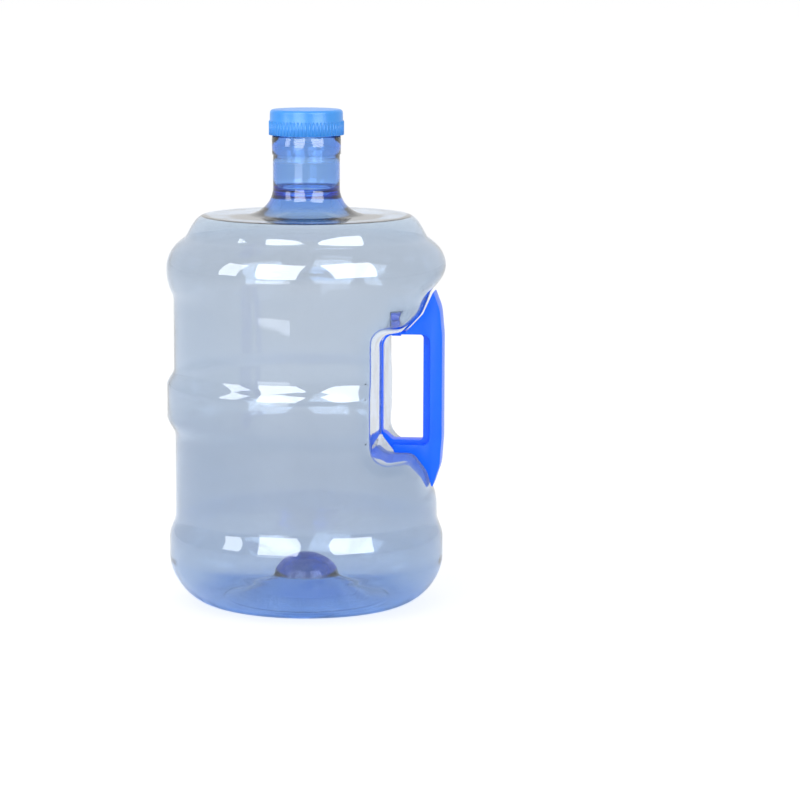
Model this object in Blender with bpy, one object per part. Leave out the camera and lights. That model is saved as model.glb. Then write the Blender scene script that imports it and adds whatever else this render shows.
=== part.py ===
"""Large screw-cap water jug with a moulded-in carrying handle.

The bottle stands on its foot ring at z = 0 with its axis on the Z axis. The handle sits in a
notch on the +X side. The cap screws on to the neck with a right-handed thread, and a soft
sealing disc lies between the cap and the neck's lip.
"""
import math

import bmesh
import bpy
from mathutils import Vector

MM = 0.001          # every size below is in millimetres
TOUCH_GAP = 0.3     # gap kept between two pieces that rest on each other

# Whole jug
TOTAL_HEIGHT = 370.0
ROUND_STEPS = 40
ARC_STEPS = 5            # steps in half a turn of an outline's rounded corner

# Bottle body: radii of the plain walls and of the three rings
LOWER_WALL_RADIUS = 98.4
UPPER_WALL_RADIUS = 99.3
LOWER_RING_RADIUS = 103.0
RING_RADIUS = 104.5

# Base: a foot ring, and a floor pushed up to a thick round dome at the moulding gate
FOOT_INNER_RADIUS = 62.0
FOOT_OUTER_RADIUS = 71.0
PUSH_UP_HEIGHT = 31.0
GATE_RADIUS = 21.0
GATE_EDGE_HEIGHT = 19.0

# Heights of the body's features
HEEL_TOP = 35.0
LOWER_RING_TOP = 49.5
LOWER_WALL_BOTTOM = 67.5
LOWER_WALL_TOP = 126.0
MIDDLE_RING_BOTTOM = 142.0
MIDDLE_RING_TOP = 164.0
UPPER_WALL_BOTTOM = 177.0
UPPER_WALL_TOP = 227.5
UPPER_RING_FOOT = 235.3
UPPER_RING_CREST = 251.7
SHOULDER_DIP = 274.6        # where the upper ring's bulge meets the shoulder
SHOULDER_BOTTOM = 278.2
DECK_HEIGHT = 291.5

# Shoulder and deck
UPPER_FOOT_RADIUS = 101.2
DIP_RADIUS = 91.0
SHOULDER_RADIUS = 88.6
DECK_RADIUS = 76.5
# Points that the curves above and below the dip head for: (radius, height)
FOOT_CONTROL = (99.3, 231.5)
BULGE_BOTTOM_CONTROL = (104.5, 241.9)
BULGE_TOP_CONTROL = (104.5, 266.2)
DIP_CONTROL = (90.1, 275.2)
SHOULDER_CONTROL = (82.0, 291.5)
FLARE_RADIUS = 46.0
FLARE_TOP = 312.0

# Neck and its screw finish
NECK_RADIUS = 24.9
NECK_BORE_RADIUS = 22.4
BAND_RADIUS = 25.7
BAND_BOTTOM = 337.0
BAND_TOP = 350.2
FINISH_RADIUS = 24.2
LIP_HEIGHT = 366.0

# Screw thread
THREAD_PITCH = 5.0
THREAD_START = 352.8
THREAD_ROOT_WIDTH = 2.0
THREAD_CREST_WIDTH = 1.0
NECK_THREAD_CREST = 25.45
NECK_THREAD_TURNS = 2.1
CAP_THREAD_CREST = 24.75
CAP_THREAD_TURNS = 1.7

# Cap and seal
CAP_BOTTOM = 351.0
CAP_RADIUS = 27.2
CAP_RIB_RADIUS = 28.0
CAP_RIB_TOP = 361.5
CAP_RIB_COUNT = 60
CAP_INNER_RADIUS = 25.9
CAP_EDGE_ROUNDING = 2.4
CAP_TOP_THICKNESS = 1.8
SEAL_RADIUS = 25.3
SEAL_THICKNESS = 1.6

# Wall thicknesses
BODY_WALL = 1.0
BASE_WALL = 2.6
GATE_WALL = 5.0
DECK_WALL = 1.6
ROOT_WALL = 2.5

# Notch through the +X side, seen along Y: its deepest wall, floor and ceiling
NOTCH_WALL_X = 56.8
NOTCH_FLOOR = 114.4
NOTCH_CEILING = 205.2
NOTCH_RISE = 11.0           # how much higher the ceiling is at the notch's open ends
NOTCH_REACH = 120.0         # how far the cutter reaches past the axis along Y and X

# Handle
HANDLE_TOP = 234.8
HANDLE_BOTTOM = 90.3
HANDLE_TIP_X = 95.9
GRIP_OUTER_X = 103.0
GRIP_STEP_X = 93.8
GRIP_INNER_X = 88.6
WINDOW_TOP = 203.6
WINDOW_BOTTOM = 124.4
HANDLE_HALF_WIDTH = 12.0
RIM_HALF_WIDTH = 6.5
RIM_DEPTH = 3.2             # how far the thin rim stands into the window at the two arms
STRIP_X = (57.15, 58.05)     # the thin strip along the notch's deepest wall
STRIP_HALF_WIDTH = 5.0
STRIP_TOP = (203.7, 202.7)
LUG_X = (64.6, 71.4)
LUG_HALF_WIDTH = 4.0
LUG_TOP = 218.6
LUG_HEAD_BOTTOM = 212.5
LUG_HEAD_HALF_WIDTH = 6.5


def clear_scene():
    for item in list(bpy.data.objects):
        bpy.data.objects.remove(item, do_unlink=True)


def material(name, colour, roughness, alpha=1.0):
    made = bpy.data.materials.new(name)
    made.use_nodes = True
    shader = made.node_tree.nodes["Principled BSDF"]
    shader.inputs["Base Color"].default_value = (*colour, 1.0)
    shader.inputs["Roughness"].default_value = roughness
    shader.inputs["Metallic"].default_value = 0.0
    shader.inputs["Alpha"].default_value = alpha
    return made


def add_object(name, bm, surface=None):
    """Turns a bmesh in millimetres into an object in metres."""
    bmesh.ops.scale(bm, vec=(MM, MM, MM), verts=bm.verts)
    bmesh.ops.recalc_face_normals(bm, faces=bm.faces)
    mesh = bpy.data.meshes.new(name)
    bm.to_mesh(mesh)
    bm.free()
    item = bpy.data.objects.new(name, mesh)
    bpy.context.scene.collection.objects.link(item)
    mesh.shade_smooth()
    mesh.set_sharp_from_angle(angle=math.radians(35))
    if surface:
        mesh.materials.append(surface)
    return item


def mark_as_cutter(item):
    item.hide_render = True
    item.display_type = "WIRE"
    return item


def boolean(item, other, operation):
    step = item.modifiers.new(other.name, "BOOLEAN")
    step.operation = operation
    step.solver = "EXACT"
    step.object = other


# Profiles are lists of (radius, height) points.

def straight(start, end):
    return [start, end]


def quarter(start, end, steps, leaves, power=1.0):
    """A quarter of an ellipse that leaves `start` along the radius or along the height."""
    points = []
    for index in range(steps + 1):
        angle = 0.5 * math.pi * index / steps
        rise, run = math.sin(angle) ** power, 1.0 - math.cos(angle) ** power
        along_r, along_z = (rise, run) if leaves == "radius" else (run, rise)
        points.append((start[0] + (end[0] - start[0]) * along_r,
                       start[1] + (end[1] - start[1]) * along_z))
    return points


def soft_step(start, end, steps):
    """A smooth change of radius between two heights."""
    points = []
    for index in range(steps + 1):
        share = index / steps
        swing = 0.5 - 0.5 * math.cos(math.pi * share)
        points.append((start[0] + (end[0] - start[0]) * swing,
                       start[1] + (end[1] - start[1]) * share))
    return points


def bend(start, control, end, steps):
    """A curve that leaves `start` towards `control` and comes to `end` from it."""
    points = []
    for index in range(steps + 1):
        share = index / steps
        points.append(tuple((1 - share) ** 2 * a + 2 * share * (1 - share) * b + share ** 2 * c
                            for a, b, c in zip(start, control, end)))
    return points


def joined(*runs):
    points = []
    for run in runs:
        for point in run:
            if not points or math.dist(points[-1], point) > 0.05:
                points.append(point)
    return points


def body_outline():
    """The outside of the bottle, from the middle of the base to the neck band."""
    gate = bend((0.0, PUSH_UP_HEIGHT), (0.6 * GATE_RADIUS, PUSH_UP_HEIGHT), (GATE_RADIUS, GATE_EDGE_HEIGHT), 3)
    floor = straight((GATE_RADIUS, GATE_EDGE_HEIGHT), (GATE_RADIUS + 3.0, GATE_EDGE_HEIGHT - 1.5))
    floor += quarter(floor[-1], (FOOT_INNER_RADIUS, 0.0), 4, "height", 1.5)
    foot = straight((FOOT_INNER_RADIUS, 0.0), (FOOT_OUTER_RADIUS, 0.0))
    heel = quarter((FOOT_OUTER_RADIUS, 0.0), (LOWER_RING_RADIUS, HEEL_TOP), 6, "radius", 1.12)
    lower_ring = soft_step((LOWER_RING_RADIUS, LOWER_RING_TOP), (LOWER_WALL_RADIUS, LOWER_WALL_BOTTOM), 3)
    middle_rise = soft_step((LOWER_WALL_RADIUS, LOWER_WALL_TOP), (RING_RADIUS, MIDDLE_RING_BOTTOM), 3)
    middle_fall = soft_step((RING_RADIUS, MIDDLE_RING_TOP), (UPPER_WALL_RADIUS, UPPER_WALL_BOTTOM), 3)
    foot_point, crest_point = (UPPER_FOOT_RADIUS, UPPER_RING_FOOT), (RING_RADIUS, UPPER_RING_CREST)
    dip_point, shoulder_point = (DIP_RADIUS, SHOULDER_DIP), (SHOULDER_RADIUS, SHOULDER_BOTTOM)
    upper_rise = bend((UPPER_WALL_RADIUS, UPPER_WALL_TOP), FOOT_CONTROL, foot_point, 2)
    upper_rise += bend(foot_point, BULGE_BOTTOM_CONTROL, crest_point, 2)
    upper_fall = bend(crest_point, BULGE_TOP_CONTROL, dip_point, 4)
    dip = bend(dip_point, DIP_CONTROL, shoulder_point, 2)
    shoulder = bend(shoulder_point, SHOULDER_CONTROL, (DECK_RADIUS, DECK_HEIGHT), 4)
    flare = quarter((FLARE_RADIUS, DECK_HEIGHT + 0.4), (NECK_RADIUS, FLARE_TOP), 5, "radius")
    return joined(gate, floor, foot, heel, lower_ring, middle_rise, middle_fall, upper_rise,
                  upper_fall, dip, shoulder, flare)


def finish_outline():
    """The outside of the neck above the flare: the band, the finish and the lip."""
    return [(NECK_RADIUS, BAND_BOTTOM - 0.6), (BAND_RADIUS, BAND_BOTTOM), (BAND_RADIUS, BAND_TOP),
            (FINISH_RADIUS, BAND_TOP + 0.4), (FINISH_RADIUS, LIP_HEIGHT - 0.4),
            (FINISH_RADIUS - 0.4, LIP_HEIGHT)]


def wall_at(radius, height):
    """Thickness of the blown wall: thick where the plastic stretched least."""
    if height > DECK_HEIGHT - 0.1:
        return DECK_WALL + (ROOT_WALL - DECK_WALL) * (FLARE_RADIUS - min(radius, FLARE_RADIUS)) / (
            FLARE_RADIUS - NECK_RADIUS)
    if height > GATE_EDGE_HEIGHT - 1.0 and radius < GATE_RADIUS + 1.0:
        return GATE_WALL
    if height < HEEL_TOP and radius < LOWER_RING_RADIUS:
        return BASE_WALL + (BODY_WALL - BASE_WALL) * radius / LOWER_RING_RADIUS
    return BODY_WALL


def inside_outline():
    """The inside of the bottle, each point set in from the outside by the wall's thickness."""
    outside = body_outline()
    points = []
    for index, (radius, height) in enumerate(outside):
        before = outside[max(index - 1, 0)]
        after = outside[min(index + 1, len(outside) - 1)]
        run, rise = after[0] - before[0], after[1] - before[1]
        length = math.hypot(run, rise)
        wall = wall_at(radius, height)
        points.append((max(radius - wall * rise / length, 0.0), height + wall * run / length))
    points[0] = (0.0, points[0][1])
    points[-1] = (NECK_BORE_RADIUS, FLARE_TOP)
    return points + [(NECK_BORE_RADIUS, LIP_HEIGHT + 4.0), (0.0, LIP_HEIGHT + 4.0)]


def lathe(name, points, steps=ROUND_STEPS, surface=None):
    """Turns a profile round the Z axis into one closed solid."""
    bm = bmesh.new()
    verts = [bm.verts.new((radius, 0.0, height)) for radius, height in points]
    edges = [bm.edges.new(pair) for pair in zip(verts, verts[1:])]
    bmesh.ops.spin(bm, geom=verts + edges, cent=(0, 0, 0), axis=(0, 0, 1),
                   angle=2.0 * math.pi, steps=steps, use_merge=True)
    bmesh.ops.remove_doubles(bm, verts=bm.verts, dist=0.001)
    return add_object(name, bm, surface)


def thread_ridge(name, root, crest, turns, lift):
    """A right-handed screw ridge from radius `root` to `crest`, faded out at its two ends."""
    bm = bmesh.new()
    steps = round(turns * ROUND_STEPS)
    rings = []
    for index in range(steps + 1):
        angle = 2.0 * math.pi * index / ROUND_STEPS
        middle = THREAD_START + lift + THREAD_PITCH * index / ROUND_STEPS
        fade = min(1.0, (index + 0.35) / 4.0, (steps - index + 0.35) / 4.0)
        top = root + (crest - root) * fade
        half_root, half_crest = 0.5 * THREAD_ROOT_WIDTH, 0.5 * THREAD_CREST_WIDTH
        section = [(root, -half_root), (top, -half_crest), (top, half_crest), (root, half_root)]
        rings.append([bm.verts.new((radius * math.cos(angle), radius * math.sin(angle), middle + shift))
                      for radius, shift in section])
    for ring, following in zip(rings, rings[1:]):
        for corner in range(4):
            after = (corner + 1) % 4
            bm.faces.new((ring[corner], ring[after], following[after], following[corner]))
    bm.faces.new(rings[0])
    bm.faces.new(reversed(rings[-1]))
    return mark_as_cutter(add_object(name, bm))


# Outlines in the X-Z plane are lists of (x, z) points, seen along +Y.

def rounded(corners):
    """Rounds each (x, z, radius) corner of a closed outline with an arc."""
    points = []
    for index, (x, z, radius) in enumerate(corners):
        here = Vector((x, z))
        if radius == 0.0:
            points.append((x, z))
            continue
        before = (Vector(corners[index - 1][:2]) - here).normalized()
        after = (Vector(corners[(index + 1) % len(corners)][:2]) - here).normalized()
        half = 0.5 * before.angle(after)
        centre = here + (before + after).normalized() * radius / math.sin(half)
        start = here + before * radius / math.tan(half) - centre
        end = here + after * radius / math.tan(half) - centre
        turn = start.angle_signed(end)
        steps = max(2, round(abs(turn) * ARC_STEPS / math.pi))
        for step in range(steps + 1):
            angle = -turn * step / steps
            spun = Vector((start.x * math.cos(angle) - start.y * math.sin(angle),
                           start.x * math.sin(angle) + start.y * math.cos(angle)))
            points.append(tuple(centre + spun))
    return points


def grown(corners, amount):
    """Moves every side of a closed (x, z, radius) outline outwards by `amount`."""
    result = []
    area = sum(a[0] * b[1] - b[0] * a[1] for a, b in zip(corners, corners[1:] + corners[:1]))
    side = 1.0 if area > 0 else -1.0
    for index, (x, z, radius) in enumerate(corners):
        here = Vector((x, z))
        incoming = (here - Vector(corners[index - 1][:2])).normalized()
        outgoing = (Vector(corners[(index + 1) % len(corners)][:2]) - here).normalized()
        normal_in = Vector((incoming.y, -incoming.x)) * side
        normal_out = Vector((outgoing.y, -outgoing.x)) * side
        mitre = (normal_in + normal_out).normalized()
        moved = here + mitre * amount / max(mitre.dot(normal_in), 0.3)
        convex = incoming.cross(outgoing) * side > 0
        new_radius = radius if radius == 0.0 else max(radius + (amount if convex else -amount), 0.5)
        result.append((moved.x, moved.y, new_radius))
    return result


def notch_corners(rise):
    """The notch seen along Y. `rise` lifts the ceiling: nothing at the middle, all at the open ends."""
    return [
        (NOTCH_REACH, HANDLE_TOP + 24.0 + rise, 0.0),
        (HANDLE_TIP_X - 1.2, HANDLE_TOP + 2.6 + 0.25 * rise, 8.0),
        (87.6, 219.8 + 0.6 * rise, 14.0),
        (76.0, NOTCH_CEILING + 2.0 + rise, 16.0),
        (NOTCH_WALL_X, NOTCH_CEILING - 1.2 + rise, 11.0),
        (NOTCH_WALL_X, NOTCH_FLOOR + 0.3, 12.0),
        (81.5, NOTCH_FLOOR + 0.3, 9.0),
        (91.0, 101.5, 20.0),
        (HANDLE_TIP_X - 0.6, HANDLE_BOTTOM - 2.0, 8.0),
        (NOTCH_REACH, HANDLE_BOTTOM - 26.0, 0.0),
    ]


def notch_cutter(name, growth):
    """The notch as a solid that runs right through the bottle along Y."""
    bm = bmesh.new()
    rings = []
    for place, rise in ((-NOTCH_REACH, 1.4), (-80.0, 1.0), (-HANDLE_HALF_WIDTH, 0.0),
                        (HANDLE_HALF_WIDTH, 0.0), (80.0, 1.0), (NOTCH_REACH, 1.4)):
        outline = rounded(grown(notch_corners(NOTCH_RISE * rise), growth))
        rings.append([bm.verts.new((x, place, z)) for x, z in outline])
    count = len(rings[0])
    for ring, following in zip(rings, rings[1:]):
        for index in range(count):
            after = (index + 1) % count
            bm.faces.new((ring[index], ring[after], following[after], following[index]))
    bm.faces.new(rings[0])
    bm.faces.new(reversed(rings[-1]))
    return mark_as_cutter(add_object(name, bm))


def box(name, low, high):
    bm = bmesh.new()
    bmesh.ops.create_cube(bm, size=1.0)
    size = [b - a for a, b in zip(low, high)]
    middle = [0.5 * (a + b) for a, b in zip(low, high)]
    bmesh.ops.scale(bm, vec=size, verts=bm.verts)
    bmesh.ops.translate(bm, vec=middle, verts=bm.verts)
    return mark_as_cutter(add_object(name, bm))


def lug_blocks(prefix, growth):
    """The anchor's stem and its wider head, both grown by `growth` on every side."""
    stem_low = (LUG_X[0] - growth, -LUG_HALF_WIDTH - growth, NOTCH_CEILING - 3.0)
    stem_high = (LUG_X[1] + growth, LUG_HALF_WIDTH + growth, LUG_HEAD_BOTTOM + 1.0)
    head_low = (LUG_X[0] - growth, -LUG_HEAD_HALF_WIDTH - growth, LUG_HEAD_BOTTOM - growth)
    head_high = (LUG_X[1] + growth, LUG_HEAD_HALF_WIDTH + growth, LUG_TOP + growth)
    return [box(prefix + "_stem", stem_low, stem_high), box(prefix + "_head", head_low, head_high)]


def extruded(name, outline, half_width, rounding, surface=None):
    """An X-Z outline given thickness along Y, with rounded edges."""
    bm = bmesh.new()
    face = bm.faces.new([bm.verts.new((x, -half_width, z)) for x, z in outline])
    pushed = bmesh.ops.extrude_face_region(bm, geom=[face])
    moved = [item for item in pushed["geom"] if isinstance(item, bmesh.types.BMVert)]
    bmesh.ops.translate(bm, vec=(0.0, 2.0 * half_width, 0.0), verts=moved)
    item = add_object(name, bm, surface)
    bevel = item.modifiers.new("rounding", "BEVEL")
    bevel.width = rounding * MM
    bevel.segments = 2
    bevel.limit_method = "ANGLE"
    bevel.angle_limit = math.radians(50)
    return item


def handle_body_outline():
    """The wide outer part of the handle: pointed fins, the grip and the two arms."""
    return rounded([
        (HANDLE_TIP_X + 0.2, HANDLE_TOP + 1.6, 0.6),
        (101.2, 223.0, 30.0),
        (GRIP_OUTER_X, 203.0, 60.0),
        (GRIP_OUTER_X, 127.0, 60.0),
        (101.6, 106.0, 30.0),
        (HANDLE_TIP_X, HANDLE_BOTTOM - 1.6, 0.6),
        (92.0, 102.0, 18.0),
        (82.0, 115.2, 9.0),
        (67.5, 115.2, 1.0),
        (66.0, WINDOW_BOTTOM - RIM_DEPTH, 1.5),
        (GRIP_STEP_X, WINDOW_BOTTOM - RIM_DEPTH, 5.0),
        (GRIP_STEP_X, WINDOW_TOP + 0.6, 6.0),
        (72.0, WINDOW_TOP + 0.6, 0.5),
        (76.6, 206.6, 6.0),
        (88.2, 219.0, 14.0),
    ])


def handle_rim_outline():
    """The thin rim round the window, with the upturned end of the lower arm."""
    return rounded([
        (98.0, 216.0, 6.0),
        (98.0, 108.0, 6.0),
        (82.0, 115.6, 5.0),
        (67.0, 115.6, 2.5),
        (58.4, 126.8, 1.5),
        (58.4, 130.6, 0.8),
        (61.4, 128.4, 4.0),
        (66.0, WINDOW_BOTTOM, 5.0),
        (GRIP_INNER_X, WINDOW_BOTTOM, 2.5),
        (GRIP_INNER_X, WINDOW_TOP, 2.5),
        (63.0, WINDOW_TOP - 0.2, 0.4),
        (76.0, NOTCH_CEILING + 0.6, 6.0),
    ])


def handle_strip_outline():
    """The thin strip that joins the two arms along the notch's deepest wall."""
    return rounded([
        (STRIP_X[0], 127.6, 0.0), (STRIP_X[0], STRIP_TOP[0], 10.6), (74.0, STRIP_TOP[0] + 2.8, 0.0),
        (74.0, STRIP_TOP[1] + 1.3, 0.0), (STRIP_X[1], STRIP_TOP[1], 9.7), (STRIP_X[1], 131.5, 0.0),
        (59.6, 128.0, 0.0),
    ])


def make_bottle():
    clear_blue = material("clear_blue_plastic", (0.62, 0.74, 0.86), 0.06, alpha=0.35)
    bottle = lathe("bottle", body_outline() + finish_outline() + [(0.0, LIP_HEIGHT)], surface=clear_blue)
    ridge = thread_ridge("neck_thread", FINISH_RADIUS - 0.5, NECK_THREAD_CREST, NECK_THREAD_TURNS, 0.0)
    notch = notch_cutter("notch", 0.0)
    for block in lug_blocks("lug_pocket", TOUCH_GAP):
        boolean(notch, block, "UNION")
    inner_notch = notch_cutter("inner_notch", BODY_WALL)
    for block in lug_blocks("lug_wall", TOUCH_GAP + BODY_WALL):
        boolean(inner_notch, block, "UNION")
    inside = mark_as_cutter(lathe("inside", inside_outline()))
    boolean(inside, inner_notch, "DIFFERENCE")
    boolean(bottle, ridge, "UNION")
    boolean(bottle, notch, "DIFFERENCE")
    boolean(bottle, inside, "DIFFERENCE")


def make_handle():
    blue = material("blue_handle_plastic", (0.02, 0.16, 0.9), 0.3)
    handle = extruded("handle", handle_body_outline(), HANDLE_HALF_WIDTH, 2.2, blue)
    rim = mark_as_cutter(extruded("handle_rim", handle_rim_outline(), RIM_HALF_WIDTH, 0.8))
    boolean(handle, rim, "UNION")
    strip = extruded("handle_strip", handle_strip_outline(), STRIP_HALF_WIDTH, 0.2)
    boolean(handle, mark_as_cutter(strip), "UNION")
    for block in lug_blocks("lug", 0.0):
        boolean(handle, block, "UNION")


def cap_outline():
    """The outside of the cap, from the middle of its top down to its lower edge."""
    edge = quarter((CAP_RADIUS - 0.2, TOTAL_HEIGHT - CAP_EDGE_ROUNDING),
                   (CAP_RADIUS - CAP_EDGE_ROUNDING, TOTAL_HEIGHT), 2, "height")
    skirt = [(CAP_RADIUS, CAP_RIB_TOP + 0.6), (CAP_RIB_RADIUS, CAP_RIB_TOP - 0.4),
             (CAP_RIB_RADIUS, CAP_BOTTOM)]
    return [(0.0, TOTAL_HEIGHT)] + edge[::-1] + skirt + [(0.0, CAP_BOTTOM)]


def cap_hollow_outline():
    ceiling = TOTAL_HEIGHT - CAP_TOP_THICKNESS
    return [(0.0, ceiling), (CAP_INNER_RADIUS, ceiling), (CAP_INNER_RADIUS, CAP_BOTTOM - 1.0),
            (0.0, CAP_BOTTOM - 1.0)]


def make_cap():
    sky_blue = material("blue_cap_plastic", (0.05, 0.32, 0.9), 0.28)
    cap = lathe("screw_cap", cap_outline(), steps=2 * CAP_RIB_COUNT, surface=sky_blue)
    spacing = math.pi / CAP_RIB_COUNT
    for vert in cap.data.vertices:
        radius = math.hypot(vert.co.x, vert.co.y)
        place = round(math.atan2(vert.co.y, vert.co.x) / spacing)
        if radius > (CAP_RIB_RADIUS - 0.1) * MM and place % 2:
            pull = (CAP_RIB_RADIUS - 0.55) / CAP_RIB_RADIUS
            vert.co.x *= pull
            vert.co.y *= pull
    hollow = mark_as_cutter(lathe("cap_hollow", cap_hollow_outline()))
    ridge = thread_ridge("cap_thread", CAP_INNER_RADIUS + 0.5, CAP_THREAD_CREST, CAP_THREAD_TURNS,
                         0.5 * THREAD_PITCH)
    boolean(cap, hollow, "DIFFERENCE")
    boolean(cap, ridge, "UNION")


def make_seal():
    white = material("white_seal", (0.85, 0.86, 0.88), 0.6)
    low = LIP_HEIGHT + TOUCH_GAP
    high = low + SEAL_THICKNESS
    lathe("cap_seal", [(0.0, low), (SEAL_RADIUS, low), (SEAL_RADIUS, high), (0.0, high)], surface=white)


def main():
    clear_scene()
    make_bottle()
    make_handle()
    make_cap()
    make_seal()


main()
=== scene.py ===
import math

import bmesh
import bpy
import numpy as np
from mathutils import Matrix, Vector


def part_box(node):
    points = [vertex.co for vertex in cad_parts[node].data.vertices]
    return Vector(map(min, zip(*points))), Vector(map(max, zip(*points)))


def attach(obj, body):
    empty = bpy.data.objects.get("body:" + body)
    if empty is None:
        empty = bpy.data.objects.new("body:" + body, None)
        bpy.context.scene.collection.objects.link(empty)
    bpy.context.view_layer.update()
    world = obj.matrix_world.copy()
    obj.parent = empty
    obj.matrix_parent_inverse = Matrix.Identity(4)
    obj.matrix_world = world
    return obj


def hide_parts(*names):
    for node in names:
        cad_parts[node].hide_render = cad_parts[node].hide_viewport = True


# A large clear water jug with a screw cap and a moulded-in handle.
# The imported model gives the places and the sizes. The pieces made here stand for its plain solids.
# Sizes are in millimetres and are turned to metres where a mesh is made.

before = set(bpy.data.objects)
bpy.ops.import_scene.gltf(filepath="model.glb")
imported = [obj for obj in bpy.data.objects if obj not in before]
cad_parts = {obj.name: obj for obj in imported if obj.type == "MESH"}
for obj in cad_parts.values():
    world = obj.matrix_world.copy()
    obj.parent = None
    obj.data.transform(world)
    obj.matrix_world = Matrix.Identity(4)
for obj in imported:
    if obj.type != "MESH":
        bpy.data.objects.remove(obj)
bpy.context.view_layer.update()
mm = 0.001


def boxOf(node):
    low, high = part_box(node)
    return low / mm, high / mm


bottleLow, bottleHigh = boxOf("bottle")
lipHeight = bottleHigh.z
capLow, capHigh = boxOf("screw_cap")
sealLow, sealHigh = boxOf("cap_seal")


# Outlines are lists of (radius, height) or, for the handle and its notch, of (x, height).

def quarter(start, end, steps, leaves, power=1.0):
    # a quarter of an ellipse that leaves its start along the radius or along the height
    points = []
    for index in range(steps + 1):
        angle = 0.5 * math.pi * index / steps
        rise, run = math.sin(angle) ** power, 1.0 - math.cos(angle) ** power
        alongR, alongZ = (rise, run) if leaves == "radius" else (run, rise)
        points.append((start[0] + (end[0] - start[0]) * alongR, start[1] + (end[1] - start[1]) * alongZ))
    return points


def softStep(start, end, steps):
    # a smooth change of radius between two heights
    points = []
    for index in range(steps + 1):
        share = index / steps
        swing = 0.5 - 0.5 * math.cos(math.pi * share)
        points.append((start[0] + (end[0] - start[0]) * swing, start[1] + (end[1] - start[1]) * share))
    return points


def straight(start, end, steps):
    return [(start[0] + (end[0] - start[0]) * i / steps, start[1] + (end[1] - start[1]) * i / steps)
            for i in range(steps + 1)]


def bend(start, control, end, steps):
    # a curve that leaves its start towards the control point and comes to its end from there
    shares = [index / steps for index in range(steps + 1)]
    return [tuple((1 - s) ** 2 * a + 2 * s * (1 - s) * b + s * s * c for a, b, c in zip(start, control, end))
            for s in shares]


def joined(*runs):
    points = []
    for run in runs:
        for point in run:
            if not points or math.dist(points[-1], point) > 0.05:
                points.append(point)
    return points


def rounded(corners, arcSteps, straightSteps=1):
    # rounds each (x, height, radius) corner of a closed outline, with the same count of points every time
    points = []
    for index, (x, z, radius) in enumerate(corners):
        here = Vector((x, z))
        before = (Vector(corners[index - 1][:2]) - here).normalized()
        after = (Vector(corners[(index + 1) % len(corners)][:2]) - here).normalized()
        half = 0.5 * before.angle(after)
        centre = here + (before + after).normalized() * radius / math.sin(half)
        start = here + before * radius / math.tan(half) - centre
        end = here + after * radius / math.tan(half) - centre
        turn = start.angle_signed(end) if radius else 0.0
        for step in range(arcSteps + 1 if radius else 1):
            angle = -turn * step / arcSteps
            points.append((centre.x + start.x * math.cos(angle) - start.y * math.sin(angle),
                           centre.y + start.x * math.sin(angle) + start.y * math.cos(angle)))
        points.append(None)     # a straight side follows, filled in below
    filled = []
    for index, point in enumerate(points):
        if point is None:
            a, b = filled[-1], points[(index + 1) % len(points)]
            filled += straight(a, b, straightSteps)[1:-1]
        else:
            filled.append(point)
    return filled


def grown(corners, amount):
    # moves every side of a closed outline outwards
    result = []
    area = sum(a[0] * b[1] - b[0] * a[1] for a, b in zip(corners, corners[1:] + corners[:1]))
    side = 1.0 if area > 0 else -1.0
    for index, (x, z, radius) in enumerate(corners):
        here = Vector((x, z))
        incoming = (here - Vector(corners[index - 1][:2])).normalized()
        outgoing = (Vector(corners[(index + 1) % len(corners)][:2]) - here).normalized()
        normalIn = Vector((incoming.y, -incoming.x)) * side
        normalOut = Vector((outgoing.y, -outgoing.x)) * side
        mitre = (normalIn + normalOut).normalized()
        moved = here + mitre * amount / max(mitre.dot(normalIn), 0.3)
        convex = incoming.cross(outgoing) * side > 0
        newRadius = radius if radius == 0.0 else max(radius + (amount if convex else -amount), 0.5)
        result.append((moved.x, moved.y, newRadius))
    return result


def meshFrom(name, points, faces):
    mesh = bpy.data.meshes.new(name)
    mesh.from_pydata([(x * mm, y * mm, z * mm) for x, y, z in points], [], faces)
    mesh.update()
    return mesh


def addPiece(name, mesh, finish=None):
    piece = bpy.data.objects.new(name, mesh)
    bpy.context.scene.collection.objects.link(piece)
    if finish:
        mesh.materials.clear()
        mesh.materials.append(finish)
    mesh.shade_smooth()
    return piece


def turned(name, outline, steps):
    # turns an outline round the Z axis; points on the axis become one vertex
    points, rings = [], []
    for radius, height in outline:
        if radius < 1e-6:
            rings.append([len(points)] * steps)
            points.append((0.0, 0.0, height))
        else:
            rings.append(list(range(len(points), len(points) + steps)))
            angles = [2 * math.pi * i / steps for i in range(steps)]
            points += [(radius * math.cos(angle), radius * math.sin(angle), height) for angle in angles]
    faces = []
    for ring, following in zip(rings, rings[1:]):
        for i in range(steps):
            j = (i + 1) % steps
            face = [ring[i], ring[j], following[j], following[i]]
            face = [corner for k, corner in enumerate(face) if corner != face[k - 1]]
            if len(face) > 2:
                faces.append(face)
    mesh = meshFrom(name, points, faces)
    facesOutwards(mesh)
    return mesh


def facesOutwards(mesh):
    bm = bmesh.new()
    bm.from_mesh(mesh)
    bmesh.ops.remove_doubles(bm, verts=bm.verts, dist=0.01 * mm)
    bmesh.ops.recalc_face_normals(bm, faces=bm.faces)
    bm.to_mesh(mesh)
    bm.free()


def settled(piece):
    # a plain mesh of the piece as its modifiers leave it
    shown = piece.evaluated_get(bpy.context.evaluated_depsgraph_get())
    mesh = bpy.data.meshes.new_from_object(shown)
    mesh.name = piece.name
    return mesh


def combined(first, others, operation):
    # joins the other meshes to the first, or cuts them out of it
    body = addPiece("work", first)
    tools = []
    for mesh in others:
        tool = addPiece("tool", mesh)
        tools.append(tool)
        step = body.modifiers.new("cut", "BOOLEAN")
        step.operation, step.solver, step.object = operation, "EXACT", tool
    result = settled(body)
    for item in [body] + tools:
        bpy.data.objects.remove(item)
    return result


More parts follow.
